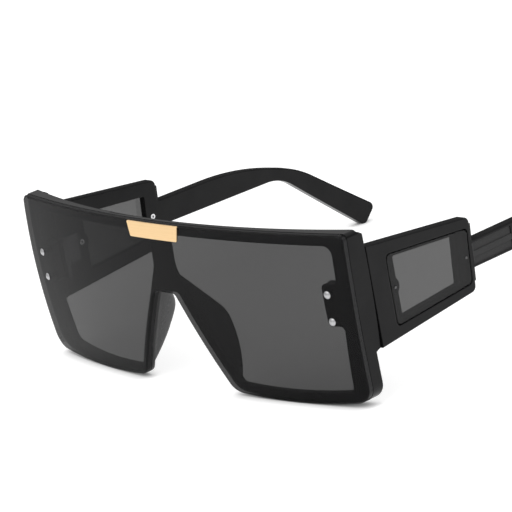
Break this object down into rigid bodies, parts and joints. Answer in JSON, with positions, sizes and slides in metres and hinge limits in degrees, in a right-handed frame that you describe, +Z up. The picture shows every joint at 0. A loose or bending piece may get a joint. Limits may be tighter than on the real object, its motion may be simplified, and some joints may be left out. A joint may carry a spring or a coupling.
{
  "type": "shield sunglasses",
  "caption": "Oversized shield sunglasses: a dark one-piece lens on a moulded front, and folding temples with dark side windows.",
  "frame": {"origin": "on the surface that the glasses stand on, under the middle of their box with the temples open", "axes": "+Z up, -Y the way the lens faces, +X to the wearer's left"},
  "size_m": [0.1506, 0.1493, 0.054],
  "materials": {
    "lens_tint": "polished grey tint",
    "frame_black": "black, polished moulding",
    "plate_gold": "champagne plating, satin",
    "rivet_steel": "polished",
    "hinge_steel": "black nickel plating, satin"
  },
  "bodies": {
    "front": {"shield_lens": "lens_tint", "frame_front": "frame_black", "bridge_plate": "plate_gold", "rivet_left_upper": "rivet_steel", "rivet_left_lower": "rivet_steel", "rivet_right_upper": "rivet_steel", "rivet_right_lower": "rivet_steel", "hinge_leaf_front_left": "hinge_steel", "hinge_leaf_front_right": "hinge_steel", "hinge_screw_left": "hinge_steel", "hinge_screw_right": "hinge_steel"},
    "temple_left": {"temple_left": "frame_black", "side_lens_left": "lens_tint", "side_stud_front_left": "rivet_steel", "side_stud_rear_left": "rivet_steel", "hinge_leaf_temple_left": "hinge_steel"},
    "temple_right": {"temple_right": "frame_black", "side_lens_right": "lens_tint", "side_stud_front_right": "rivet_steel", "side_stud_rear_right": "rivet_steel", "hinge_leaf_temple_right": "hinge_steel"}
  },
  "joints": [
    {"name": "temple_left_fold", "type": "hinge", "parent": "front", "child": "temple_left", "pos_m": [0.06985, -0.05741, 0.0321], "axis": [0, 0, 1], "range_deg": [0, 90]},
    {"name": "temple_right_fold", "type": "hinge", "parent": "front", "child": "temple_right", "pos_m": [-0.06985, -0.05741, 0.0321], "axis": [0, 0, -1], "range_deg": [0, 84]}
  ]
}
